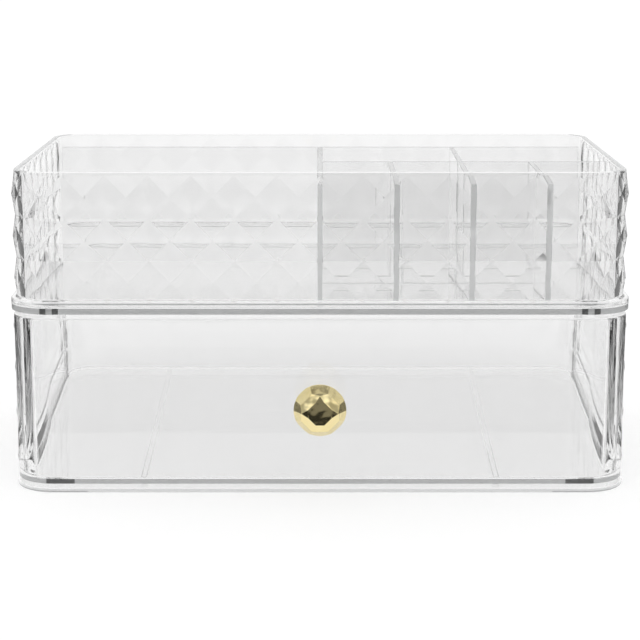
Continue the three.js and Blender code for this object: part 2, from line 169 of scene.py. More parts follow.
@dataclass(frozen=True)
class ClearAcrylic:
    """Clear acrylic, injection moulded and polished by the mould.

    The eye sees almost nothing of the faces, grey where a ray crosses many walls, and dark or white lines at
    the edges. The mould leaves a faint slow waviness that bends straight reflections a little.
    """

    name: str = "clear_acrylic_moulded"
    tint: str = "#fdfdfd"
    ior: float = 1.49
    roughness: float = 0.0
    wave_size_mm: float = 30.0
    wave_strength: float = 0.03
    wave_depth_mm: float = 0.05
    lamp_share: str = "#fafafa"

    def acrylic(self, tree: Tree, tint: str, roughness: float, clear: float) -> Socket:
        """Adds the acrylic's shader, with the waviness of the mould.

        Args:
            tree: the node tree to add to.
            tint: colour that a wall leaves of the light it lets through.
            roughness: roughness of the surface.
            clear: share of the light that passes clear; the rest is scattered.

        Returns:
            The shader.
        """
        inputs = {
            "Base Color": linear(tint),
            "Roughness": roughness,
            "IOR": self.ior,
            "Transmission Weight": clear,
            "Normal": waves(tree, self.wave_size_mm, self.wave_strength, self.wave_depth_mm),
        }
        return add_node(tree, "BsdfPrincipled", inputs).outputs[0]

    def body(self, tree: Tree) -> Socket:
        """Returns the shader that the eye sees."""
        return self.acrylic(tree, self.tint, self.roughness, 1.0)

    def build(self) -> Material:
        """Returns the material. Light for rough surfaces goes straight through it, a little dimmed."""
        material, tree = new_material(self.name)
        seen = self.body(tree)
        lamp = add_node(tree, "BsdfTransparent", {"Color": linear(self.lamp_share)})
        path = add_node(tree, "LightPath").outputs
        straight = Sums(tree).apply("MAXIMUM", path["Is Shadow Ray"], path["Is Diffuse Ray"])
        mix = add_node(tree, "MixShader", {0: straight, 1: seen, 2: lamp.outputs[0]})
        add_node(tree, "OutputMaterial", {"Surface": mix.outputs[0]})
        return material


@dataclass(frozen=True)
class AcrylicEdge(ClearAcrylic):
    """The narrow faces of the same mouldings, seen end on.

    The edge tint is painted shade, seen only from outside: it stands in for light that enters here, travels
    the whole length of a plate inside it, 50 to 230 mm, and comes out dimmed, so the eye sees each edge as a
    solid line.
    """

    name: str = "clear_acrylic_edge"
    edge_tint: str = "#cfd0d0"
    edge_roughness: float = 0.04
    edge_clear: float = 0.3

    def body(self, tree: Tree) -> Socket:
        """Returns the edge's tint for a ray from outside, and clear acrylic for one from inside."""
        outside = self.acrylic(tree, self.edge_tint, self.edge_roughness, self.edge_clear)
        inside = self.acrylic(tree, self.tint, self.roughness, 1.0)
        side = add_node(tree, "NewGeometry").outputs["Backfacing"]
        return add_node(tree, "MixShader", {0: side, 1: outside, 2: inside}).outputs[0]


@dataclass(frozen=True)
class PlatedMetal:
    """A plated metal: its colour drifts in clouds, and its roughness varies in a grain."""

    name: str
    pale: str
    deep: str
    roughness: float
    spread: float
    cloud_size_mm: float
    cloud_detail: float
    grain_size_mm: float
    grain_detail: float = 3.0
    buff_size_mm: float = 5.0
    buff_depth_mm: float = 0.0

    def build(self) -> Material:
        """Returns the material. Buffing, where it has a depth, leaves slow waves that bend reflections."""
        material, tree = new_material(self.name)
        cloud = noise(tree, self.cloud_size_mm, self.cloud_detail)
        shades = {0: cloud, 6: linear(self.pale), 7: linear(self.deep)}
        colour = add_node(tree, "Mix", shades, data_type="RGBA")
        grain = noise(tree, self.grain_size_mm, self.grain_detail)
        span = {"Value": grain, "To Min": self.roughness, "To Max": self.roughness + self.spread}
        rough = add_node(tree, "MapRange", span)
        inputs = {"Base Color": colour.outputs[2], "Metallic": 1.0, "Roughness": rough.outputs["Result"]}
        if self.buff_depth_mm:
            inputs["Normal"] = waves(tree, self.buff_size_mm, 1.0, self.buff_depth_mm)
        metal = add_node(tree, "BsdfPrincipled", inputs)
        add_node(tree, "OutputMaterial", {"Surface": metal.outputs[0]})
        return material


@dataclass(frozen=True)
class GoldPlate(PlatedMetal):
    """Pale gold plate on a zinc die casting, polished before plating.

    The eye sees each cut face as a small mirror. The plate is a shade deeper in places, and a fine grain
    softens the edges of highlights.
    """

    name: str = "gold_plate_polished"
    pale: str = "#fbeebd"
    deep: str = "#f0dc9c"
    roughness: float = 0.04
    spread: float = 0.05
    cloud_size_mm: float = 6.0
    cloud_detail: float = 2.0
    grain_size_mm: float = 0.35
    buff_depth_mm: float = 0.12


@dataclass(frozen=True)
class ZincPlate(PlatedMetal):
    """Bright zinc plate on a steel screw and washer.

    The eye sees a grey metal with a faint cloudy grain from the plating bath.
    """

    name: str = "zinc_plate_bright"
    pale: str = "#c9ccd0"
    deep: str = "#a4a8ad"
    roughness: float = 0.24
    spread: float = 0.14
    cloud_size_mm: float = 0.5
    cloud_detail: float = 3.0
    grain_size_mm: float = 0.5


def shared(finish: Any) -> Any:
    """Returns a field whose value is the material that a finish builds."""
    return field(default_factory=finish.build)


@dataclass
class Finishes:
    """The materials that all the pieces share.

    The edges differ in how much light is left when it comes out, and their tints are painted shade for that
    light: the edges of partitions are painted grey, and the bands round the top plate and the drawer's floor
    deeper grey. Rims are painted white, a painted highlight, and short stretches of the bands near the
    corners are painted nearly black, a painted dark reflection.
    """

    acrylic: Material = shared(ClearAcrylic())
    # Painted shade: the grey and deep grey edge tints stand in for light dimmed along the plates
    edge: Material = shared(AcrylicEdge())
    deep_edge: Material = shared(AcrylicEdge("clear_acrylic_deep_edge", edge_tint="#a3a4a4"))
    # Painted dark reflection: nearly black stretches of the bands near the corners
    painted_dark_reflection: Material = shared(
        AcrylicEdge("clear_acrylic_shaded_edge", edge_tint="#4a4b4b", edge_clear=0.1)
    )
    # Painted highlight: white rims, lip and partition top
    rim: Material = shared(AcrylicEdge("clear_acrylic_rim", edge_tint=WHITE, edge_clear=0.15))
    gold: Material = shared(GoldPlate())
    zinc: Material = shared(ZincPlate())


# Mesh tools


@dataclass(frozen=True)
class Plan:
    """Rounded rectangle seen from above, in millimetres."""

    half_x: float
    half_y: float
    radius: float

    def girth(self) -> float:
        """Returns the length once round."""
        return 4 * (self.half_x + self.half_y) - 8 * self.radius + 2 * math.pi * self.radius

    def at(self, distance: Array) -> tuple[Array, Array]:
        """Points on the outline, counterclockwise from the middle of its front side.

        Each side is a straight and a quarter circle, and the fifth straight ends where the first began.

        Args:
            distance: lengths along the outline.

        Returns:
            The points and the outward directions, both as arrays of x and y.
        """
        across = self.half_x - self.radius
        along = self.half_y - self.radius
        arc = math.pi / 2 * self.radius
        straights = (across, 2 * along, 2 * across, 2 * along, across)
        centres = ((across, -along), (across, along), (-across, along), (-across, -along), (0.0, -along))
        points = np.zeros((len(distance), 2))
        normals = np.zeros((len(distance), 2))
        start = 0.0
        for side, (straight, centre) in enumerate(zip(straights, centres)):
            turn = side * math.pi / 2
            here = (distance >= start) & (distance <= start + straight + arc)
            left = distance[here] - start
            angle = turn - math.pi / 2 + np.maximum(0.0, left - straight) / self.radius
            back = np.maximum(0.0, straight - left)
            outward = np.stack([np.cos(angle), np.sin(angle)], axis=1)
            travel = np.array([math.cos(turn), math.sin(turn)])
            points[here] = np.array(centre) + self.radius * outward - back[:, None] * travel
            normals[here] = outward
            start += straight + arc
        return points, normals


def rounding(corner: Corner, radius: float, offset: float, height: float, steps: int = 4) -> Profile:
    """Quarter circle between a wall and a level face, as pairs of outward offset and height.

    Args:
        corner: which way the edge turns.
        radius: radius of the rounding.
        offset: outward offset of the wall.
        height: height of the level face.
        steps: how many steps the quarter circle takes.

    Returns:
        The pairs, bottom to top outside, and down again inside.
    """
    first, last, inward, above = corner.value
    middle = (offset - inward * radius, height + above * radius)
    angles = np.radians(np.linspace(first, last, steps + 1))
    return [(middle[0] + radius * math.cos(a), middle[1] + radius * math.sin(a)) for a in angles]


def swept_points(base: Array, normal: Array, rows: Sequence[tuple[Any, float]]) -> Array:
    """Copies an outline once for each row, moved out and set at the row's height.

    Args:
        base: points of the outline, x and y.
        normal: their outward directions.
        rows: for each row its outward offset, as one number or one for each point, and its height.

    Returns:
        Array of rows by points by x, y and z.
    """
    offsets = np.stack([np.broadcast_to(offset, len(base)) for offset, _ in rows])
    heights = np.array([height for _, height in rows])
    flat = base[None] + offsets[:, :, None] * normal[None]
    level = np.broadcast_to(heights[:, None, None], flat.shape[:2] + (1,))
    return np.concatenate([flat, level], axis=2)


def grid_faces(rows: int, columns: int, wraps: bool, slants: Array | None = None) -> FaceList:
    """Faces of a grid of points: each row a ring counterclockwise, and the rows going up the outside.

    Args:
        rows: number of rows of points.
        columns: points in each row.
        wraps: whether the last column joins the first.
        slants: for each cell 0 for one face, 1 for two triangles split from its first corner to the third,
            and -1 for the other split.

    Returns:
        The faces as tuples of indices.
    """
    across = np.arange(columns if wraps else columns - 1)
    row, column = np.meshgrid(np.arange(rows - 1), across, indexing="ij")
    following = (column + 1) % columns
    a, b = row * columns + column, row * columns + following
    c, d = b + columns, a + columns
    if slants is None:
        slants = np.zeros(a.shape)
    faces = np.stack([a, b, c, d], axis=-1)[slants == 0].tolist()
    for corners, split in (((a, b, c), 1), ((a, c, d), 1), ((a, b, d), -1), ((b, c, d), -1)):
        faces += np.stack(corners, axis=-1)[slants == split].tolist()
    return [tuple(face) for face in faces]


def mitred(ring: Array, distance: float) -> Array:
    """Returns a closed counterclockwise outline, each side moved out by a distance, its corners mitred."""
    before = ring - np.roll(ring, 1, axis=0)
    after = np.roll(ring, -1, axis=0) - ring
    both = np.zeros_like(ring)
    for side in (before, after):
        outward = np.stack([side[:, 1], -side[:, 0]], axis=1)
        both += outward / np.linalg.norm(outward, axis=1)[:, None]
    return ring + distance * 2 * both / np.sum(both * both, axis=1)[:, None]


def make_piece(name: str, points: Array, faces: FaceList, material: Material, crisp: float) -> Piece:
    """Turns points in millimetres and faces into an object at the origin, shaded smooth up to an angle.

    Args:
        name: the piece's name.
        points: array of x, y, z.
        faces: corner indices of each face, counterclockwise seen from outside.
        material: the finish.
        crisp: faces that meet at more than this many degrees stay crisp.

    Returns:
        The new object.
    """
    mesh = bpy.data.meshes.new(name)
    mesh.from_pydata((points * MM).tolist(), [], faces)
    mesh.validate()
    mesh.shade_smooth()
    mesh.set_sharp_from_angle(angle=math.radians(crisp))
    mesh.materials.append(material)
    piece = bpy.data.objects.new(name, mesh)
    bpy.context.scene.collection.objects.link(piece)
    return piece


def ring_piece(
    name: str, points: Array, material: Material, crisp: float, slants: Array | None = None
) -> Piece:
    """Makes a closed solid of rings of points, with a level face on the first and the last ring."""
    rows, columns = points.shape[:2]
    last = (rows - 1) * columns
    ends = [tuple(range(columns - 1, -1, -1)), tuple(range(last, last + columns))]
    faces = grid_faces(rows, columns, True, slants) + ends
    return make_piece(name, points.reshape(-1, 3), faces, material, crisp)


def soften(piece: Piece, width: float, segments: int, angle: float = 30.0) -> None:
    """Rounds the edges that turn more than an angle, to a width in millimetres, in a number of steps."""
    bevel = piece.modifiers.new("soft_edges", "BEVEL")
    bevel.width = width * MM
    bevel.segments = segments
    bevel.limit_method = "ANGLE"
    bevel.angle_limit = math.radians(angle)


def vectors(items: Any, name: str) -> Array:
    """Returns one vector of every vertex or face, each a row of x, y and z."""
    values = np.zeros(len(items) * 3)
    items.foreach_get(name, values)
    return values.reshape(-1, 3)


class Faces:
    """The faces of a moulding, to give finishes to: their middles in millimetres, and their normals."""

    def __init__(self, piece: Piece) -> None:
        """Reads the faces of a piece."""
        self.mesh = piece.data
        self.at = vectors(self.mesh.polygons, "center").T / MM
        self.out = vectors(self.mesh.polygons, "normal").T

    def paint(self, material: Material, chosen: Array) -> None:
        """Gives the chosen faces a finish in place of the one they have."""
        index = np.zeros(len(self.mesh.polygons), dtype=np.int32)
        self.mesh.polygons.foreach_get("material_index", index)
        self.mesh.materials.append(material)
        index[chosen] = len(self.mesh.materials) - 1
        self.mesh.polygons.foreach_set("material_index", index)


@dataclass(frozen=True)
class FacetGrid:
    """Shallow pyramids on a wall round a plan: each is a square cell whose middle stands out."""

    plan: Plan
    pitch: float
    rise: float
    heights: tuple[float, ...]
    fineness: int = 6

    def columns(self) -> int:
        """Returns how many cells go round, always an even number."""
        return 2 * round(self.plan.girth() / self.pitch / 2)

    def places(self) -> Array:
        """Returns the places along the plan of the columns of points, an even number of steps to a cell."""
        steps = 2 * self.columns() * self.fineness
        return np.arange(steps) * self.plan.girth() / steps

    def levels(self) -> Array:
        """Returns the heights of the rows of points, an even number of steps to each row of cells."""
        pairs = zip(self.heights, self.heights[1:])
        parts = [np.linspace(low, high, 2 * self.fineness, endpoint=False) for low, high in pairs]
        return np.append(np.concatenate(parts), self.heights[-1])

    def surface(self, places: Array, levels: Array, wraps: bool) -> tuple[Array, Array]:
        """Shape of the wall over a grid of points.

        Across and up a cell, a place counts from -1 at one groove to 1 at the next.

        Args:
            places: places of the columns of points along the plan.
            levels: heights of the rows of points.
            wraps: whether the last column joins the first.

        Returns:
            How far each point stands out, and which way each small face is split so that the splits run
            along the pyramids' ridges.
        """
        across = 2 * np.mod(places / (self.plan.girth() / self.columns()), 1.0) - 1
        edges = np.array(self.heights)
        row = np.clip(np.searchsorted(edges, levels, side="right") - 1, 0, len(edges) - 2)
        up = 2 * (levels - edges[row]) / (edges[row + 1] - edges[row]) - 1
        out = self.rise * (1 - np.maximum(np.abs(across)[None, :], np.abs(up)[:, None]))
        right, above = np.roll(across, -1), up[1:]
        middle_across = (across + np.where(right < across, right + 2, right)) / 2
        middle_up = (up[:-1] + np.where(above < up[:-1], above + 2, above)) / 2
        if not wraps:
            middle_across = middle_across[:-1]
        return out, np.where(np.sign(middle_across)[None, :] * np.sign(middle_up)[:, None] > 0, 1, -1)


def cad_box_mm(node: str) -> tuple[Vector, Vector]:
    """Returns the lowest and highest corner of a CAD node in millimetres."""
    low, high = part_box(node)
    return low / MM, high / MM


def plate_piece(
    name: str, low: Vector, high: Vector, slots: Sequence[Triple], finishes: Finishes,
    edge: float, grey_edges: bool = True, highlight_top: bool = False,
) -> Piece:
    """A flat plate or strip, in millimetres, with slots cut in it and softened edges.

    Args:
        name: the piece's name.
        low: lowest corner.
        high: highest corner.
        slots: for each its middle along the long side, its half width and the height where it ends. A
            positive half width runs in from the top, and a negative one from the bottom.
        finishes: the set of finishes.
        edge: radius of the softened edges.
        grey_edges: whether all the narrow faces are painted grey, a painted shade.
        highlight_top: whether the top faces are painted white, a painted highlight.

    Returns:
        The new object.
    """
    along_x = high.x - low.x > high.y - low.y
    start, end = (low.x, high.x) if along_x else (low.y, high.y)
    side = (low.y, high.y) if along_x else (low.x, high.x)
    bottom_line = [(start, low.z)]
    top_line = [(start, high.z)]
    for middle, half, until in sorted(slots):
        first, last = middle - abs(half), middle + abs(half)
        line, level = (top_line, high.z) if half > 0 else (bottom_line, low.z)
        line.extend([(first, level), (first, until), (last, until), (last, level)])
    outline = bottom_line + [(end, low.z), (end, high.z)] + top_line[:0:-1] + [(start, high.z)]
    count = len(outline)
    points = [(at, place, height) for place in side for at, height in outline]
    if not along_x:
        points = [(place, at, height) for at, place, height in points]
    faces = [tuple(range(count)), tuple(range(2 * count - 1, count - 1, -1))]
    pairs = [(k, (k + 1) % count) for k in range(count)]
    faces += [(k + count, following + count, following, k) for k, following in pairs]
    if not along_x:
        faces = [face[::-1] for face in faces]
    piece = make_piece(name, np.array(points), faces, finishes.acrylic, CRISP_PLATE)
    sides = Faces(piece)
    # Painted shade: the narrow faces get the grey edge tint
    if grey_edges:
        sides.paint(finishes.edge, np.abs(sides.out[1 if along_x else 0]) < BESIDE)
    # Painted highlight: the top faces get the white rim tint
    if highlight_top:
        sides.paint(finishes.rim, sides.out[2] > STRAIGHT)
    soften(piece, edge, 3)
    return piece


def dress(piece: Piece, body: Body, slot: Slot, *nodes: str) -> None:
    """Hands a finished piece to the frame.

    Args:
        piece: the piece.
        body: the body it rides on.
        slot: the material slot it stands for; not used.
        nodes: the CAD nodes that it replaces.
    """
    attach(piece, body.value)
    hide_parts(*nodes)
    LOG.info("%s: %d faces, rides on %s", piece.name, len(piece.data.polygons), body.value)


# Case


@dataclass
class CaseModule:
    """Floor, faceted wall, top plate and runner strips of the case. Sizes are in millimetres.

    An inset is how far inside the edge a level face has its ring, and a shade is a stretch of distances from
    the middle plane where the edges are painted darker: painted shade on the floor's side, and a painted
    dark reflection in the top plate's band.
    """

    finishes: Finishes
    corner_radius: float = 16.0
    base_rounding: float = 0.8
    base_inset: float = 1.0
    # Beyond this |x| the floor's side is painted deeper grey, a painted shade
    base_shade: float = 90.0
    facet_pitch: float = 17.0
    facet_rise: float = 1.2
    row_shares: tuple[float, ...] = (0.0, 0.26, 0.52, 0.78, 1.0)
    wall: float = 2.1
    rim_width: float = 2.0
    rim_draft: float = 0.1
    plate: float = 2.5
    plate_inset: float = 2.0
    recess_inset: float = 1.5
    # Stretches of |x| where the top plate's band is painted nearly black, a painted dark reflection
    shades: tuple[Pair, ...] = ((99.6, 102.0), (104.6, 106.6))
    seam: float = 0.08
    edge: float = 0.3
    rail_edge: float = 0.25
    ring_step: float = 2.4
    hair: float = 1e-6

    def plan(self) -> Plan:
        """Returns the outline of the top plate, the widest part of the case."""
        high = cad_box_mm("case_top")[1]
        return Plan(high.x, high.y, self.corner_radius)

    def smooth_solid(self, name: str, profile: Profile) -> Piece:
        """A solid over the case's plan: the outline moved out by each offset of a profile, at its height.

        Args:
            name: the piece's name.
            profile: pairs of outward offset and height, bottom first, up the outside and down the inside.

        Returns:
            The new object.
        """
        plan = self.plan()
        count = 4 * math.ceil(plan.girth() / self.ring_step / 4)
        base = plan.at(np.arange(count) * plan.girth() / count)
        return ring_piece(name, swept_points(*base, profile), self.finishes.acrylic, CRISP_MOULDING)

    def make_base(self) -> Piece:
        """Floor moulding, its lower edge rounded so that it lifts off the table with a thin shadow line.

        Its side is painted grey, and deeper grey low down near the corners, a painted shade.
        """
        high = cad_box_mm("case_base")[1]
        side = high.x - self.plan().half_x
        profile = [(side - self.base_rounding - self.base_inset, 0.0)]
        profile += rounding(Corner.OUT_BOTTOM, self.base_rounding, side, 0.0, steps=5)
        profile += rounding(Corner.OUT_TOP, self.edge / 2, side, high.z, steps=3)
        profile.append((side - self.base_inset, high.z))
        piece = self.smooth_solid("case_floor", profile)
        faces = Faces(piece)
        x, _, z = np.abs(faces.at)
        # Painted shade: the side is grey, and deeper low down near the corners
        band = np.abs(faces.out[2]) < STRAIGHT
        faces.paint(self.finishes.edge, band)
        faces.paint(self.finishes.deep_edge, band & (z < self.base_rounding) & (x > self.base_shade))
        return piece

    def make_top(self) -> Piece:
        """Top plate with the raised rim; the recess inside the rim has a slight draft.

        The band round the plate is painted deep grey as painted shade, with short nearly black stretches of
        painted dark reflection, and the rim's top is painted white as a painted highlight.
        """
        low, high = cad_box_mm("case_top")
        floor = low.z + self.plate
        inside = -self.rim_width
        foot = inside - self.rim_draft
        profile = [(-self.plate_inset, low.z)]
        profile += rounding(Corner.OUT_BOTTOM, self.edge, 0.0, low.z)
        profile.append((0.0, floor))
        profile += rounding(Corner.OUT_TOP, 2 * self.edge, 0.0, high.z)
        profile += rounding(Corner.IN_TOP, 2 * self.edge, inside, high.z)
        profile += [(foot, floor + self.edge), (foot - self.edge, floor), (foot - self.recess_inset, floor)]
        piece = self.smooth_solid("case_top_plate", profile)
        faces = Faces(piece)
        x, y, z = np.abs(faces.at)
        # Painted shade: the band round the plate is deep grey
        band = (np.abs(faces.out[2]) < BESIDE) & (z < floor)
        faces.paint(self.finishes.deep_edge, band)
        # Painted dark reflection: short nearly black stretches near the corners
        for start, end in self.shades:
            faces.paint(self.finishes.painted_dark_reflection, band & (x > start) & (x < end) & (y > self.corner_radius))
        # Painted highlight: the rim's top is white
        faces.paint(self.finishes.rim, (faces.out[2] > STRAIGHT) & (z > high.z - RIM_DEPTH))
        return piece

    def make_wall(self) -> Piece:
        """Both sides and the back in one, with the pyramids outside and a smooth inside, open to the front.

        The section is a closed loop: up the faceted outside and down the smooth inside. It is carried along
        the part of the outline that lies behind the drawer's fascia.
        """
        low, high = cad_box_mm("case_wall")
        outer, rise = self.plan(), self.facet_rise
        plan = Plan(outer.half_x - rise, outer.half_y - rise, outer.radius - rise)
        heights = tuple(low.z + share * (high.z - low.z) for share in self.row_shares)
        grid = FacetGrid(plan, self.facet_pitch, rise, heights)
        places, levels = grid.places(), grid.levels()
        first = plan.half_x + plan.half_y + low.y - (2 - math.pi / 2) * plan.radius
        last = plan.girth() - first
        inner = places[(places > first + self.hair) & (places < last - self.hair)]
        places = np.concatenate([[first], inner, [last]])
        out, splits = grid.surface(places, levels, False)
        bottom, top = low.z + self.seam, high.z - self.seam
        rows = list(zip(out, np.clip(levels, bottom, top)))
        rows += [(-self.wall, top), (-self.wall, bottom)]
        points = swept_points(*plan.at(places), rows)
        count, columns = points.shape[:2]
        slants = np.zeros((count - 1, columns - 1), dtype=int)
        slants[: len(levels) - 1] = splits
        faces = grid_faces(count, columns, False, slants)
        final = (count - 1) * columns
        faces += [(final + k, final + k + 1, k + 1, k) for k in range(columns - 1)]
        faces.append(tuple(range(0, count * columns, columns)))
        faces.append(tuple(range(count * columns - 1, 0, -columns)))
        points = points.reshape(-1, 3)
        return make_piece("case_facet_wall", points, faces, self.finishes.acrylic, CRISP_FACETS)

    def make_rail(self, node: str) -> Piece:
        """Runner strip with rounded edges and ends painted grey as painted shade, at the place of its CAD
        node.
        """
        low, high = cad_box_mm(node)
        low.z += self.seam
        piece = plate_piece(f"{node}_strip", low, high, [], self.finishes, self.rail_edge, grey_edges=False)
        faces = Faces(piece)
        # Painted shade: the strip's ends are grey
        faces.paint(self.finishes.edge, np.abs(faces.out[1]) > STRAIGHT)
        return piece

    def build(self) -> None:
        """Builds the case and hands its pieces to the frame."""
        dress(self.make_base(), Body.CASE, Slot.ACRYLIC, "case_base")
        dress(self.make_wall(), Body.CASE, Slot.ACRYLIC, "case_wall")
        dress(self.make_top(), Body.CASE, Slot.ACRYLIC, "case_top")
        for node in ("rail_left", "rail_right"):
            dress(self.make_rail(node), Body.CASE, Slot.ACRYLIC, node)


# Drawer


@dataclass
class DrawerModule:
    """Clear drawer with its knob, washer and screw. Sizes are in millimetres."""

    finishes: Finishes
    fascia_radius: float = 15.0
    fascia_return: float = 16.6
    fascia: float = 2.4
    wall: float = 2.0
    floor: float = 2.0
    tub_half: float = 116.1
    tub_radius: float = 12.1
    lip: float = 0.5
    foot: float = 0.4
    inner_fillet: float = 0.6
    under_inset: float = 1.2
    floor_inset: float = 1.8
    step_lead: float = 0.4
    straight_steps: int = 24
    arc_steps: int = 20
    # Stretch of |x| where the floor's band is painted nearly black at the front corners, a painted dark
    # reflection
    shade: Pair = (96.8, 107.0)
    merge: float = 0.001
    knob_edge: float = 0.28
    knob_angle: float = 9
    fixing_edge: float = 0.08
    fixing_angle: float = 30

    def outline(
        self, half: float, front: float, rear: float, front_radius: float, rear_radius: float,
        neck: Triple,
    ) -> Array:
        """Outline of the drawer at one height, the right half drawn and mirrored.

        Args:
            half: half width at the front.
            front: place of the front face along Y.
            rear: place of the back face along Y.
            front_radius: radius of the front corners.
            rear_radius: radius of the rear corners.
            neck: half width behind the change, and the places along Y where the change starts and ends.

        Returns:
            Counterclockwise points, x and y.
        """
        behind, change, changed = neck
        quarter = np.linspace(0, math.pi / 2, self.arc_steps + 1)[1:]
        rise, fall = np.sin(quarter), 1 - np.cos(quarter)
        steps = self.straight_steps + 1
        parts = [
            np.linspace((0, front), (half - front_radius, front), steps),
            np.column_stack([half - front_radius + front_radius * rise, front + front_radius * fall]),
            np.array([(half, change), (behind, changed)]),
            np.linspace((behind, changed), (behind, rear - rear_radius), steps)[1:],
            np.column_stack([behind - rear_radius * fall, rear - rear_radius + rear_radius * rise]),
            np.linspace((behind - rear_radius, rear), (0, rear), steps)[1:],
        ]
        right = np.concatenate(parts)
        left = right[-2:0:-1] * np.array([-1, 1])
        return np.concatenate([right, left])

    def make_box(self) -> Piece:
        """Front, sides, back and floor in one, thick where the fascia's corners pass the case walls.

        The band round the floor is painted deep grey as painted shade, with a nearly black stretch of
        painted dark reflection at each front corner, and the lip is painted white as a painted highlight.
        """
        low, high = cad_box_mm("drawer_box")
        change = low.y + self.fascia_return
        neck = (self.tub_half, change, change)
        outer = self.outline(high.x, low.y, high.y, self.fascia_radius, self.tub_radius, neck)
        half = self.tub_half - self.wall
        radius = self.tub_radius - self.wall
        neck = (half, change - self.step_lead, change + self.step_lead)
        inner = self.outline(half, low.y + self.fascia, high.y - self.wall, radius, radius, neck)
        floor = low.z + self.floor
        outside = [(-self.under_inset, low.z)]
        outside += rounding(Corner.OUT_BOTTOM, self.foot, 0.0, low.z)
        outside.append((0.0, floor))
        outside += rounding(Corner.OUT_TOP, self.lip, 0.0, high.z)
        inside = rounding(Corner.IN_TOP, self.lip, 0.0, high.z)
        inside += rounding(Corner.IN_BOTTOM, self.inner_fillet, 0.0, floor, steps=3)
        inside.append((-self.floor_inset, floor))
        rings = []
        for ring, profile in ((outer, outside), (inner, inside)):
            for offset, height in profile:
                rings.append(np.column_stack([mitred(ring, offset), np.full(len(ring), height)]))
        piece = ring_piece("drawer_tub", np.stack(rings), self.finishes.acrylic, CRISP_MOULDING)
        faces = Faces(piece)
        x, y, z = faces.at
        # Painted shade: the band round the floor is deep grey
        band = (np.abs(faces.out[2]) < STRAIGHT) & (z < floor)
        faces.paint(self.finishes.deep_edge, band)
        # Painted dark reflection: a nearly black stretch at each front corner
        start, end = self.shade
        stretch = (y < low.y + self.fascia_radius) & (np.abs(x) > start) & (np.abs(x) < end)
        faces.paint(self.finishes.painted_dark_reflection, band & stretch)
        # Painted highlight: the lip is white
        faces.paint(self.finishes.rim, (faces.out[2] > STRAIGHT) & (z > high.z - RIM_DEPTH))
        return piece

    def make_from_node(self, name: str, node: str, material: Material, edge: float, angle: float) -> Piece:
        """A copy of a CAD node's solid, its doubled corners merged and its edges softened.

        Args:
            name: the piece's name.
            node: the CAD node.
            material: the finish.
            edge: width of the softened edges.
            angle: edges that turn more than this many degrees are softened.

        Returns:
            The new object.
        """
        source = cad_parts[node].data
        places = vectors(source.vertices, "co")
        keys = np.round(places / (self.merge * MM)).astype(int)
        distinct, inverse = np.unique(keys, axis=0, return_inverse=True)
        inverse = inverse.reshape(-1)
        merged = np.zeros((len(distinct), 3))
        merged[inverse] = places / MM
        faces = [tuple(int(inverse[v]) for v in polygon.vertices) for polygon in source.polygons]
        faces = [face for face in faces if len(set(face)) == len(face)]
        piece = make_piece(name, merged, faces, material, angle)
        soften(piece, edge, 2, angle)
        return piece

    def build(self) -> None:
        """Builds the drawer and hands its pieces to the frame."""
        dress(self.make_box(), Body.DRAWER, Slot.ACRYLIC, "drawer_box")
        gold, zinc = self.finishes.gold, self.finishes.zinc
        knob = self.make_from_node("knob_cut", "drawer_knob", gold, self.knob_edge, self.knob_angle)
        dress(knob, Body.DRAWER, Slot.GOLD, "drawer_knob")
        for name, node in (("knob_flat_washer", "knob_washer"), ("knob_pan_screw", "knob_screw")):
            fixing = self.make_from_node(name, node, zinc, self.fixing_edge, self.fixing_angle)
            dress(fixing, Body.DRAWER, Slot.ZINC, node)


# Tray


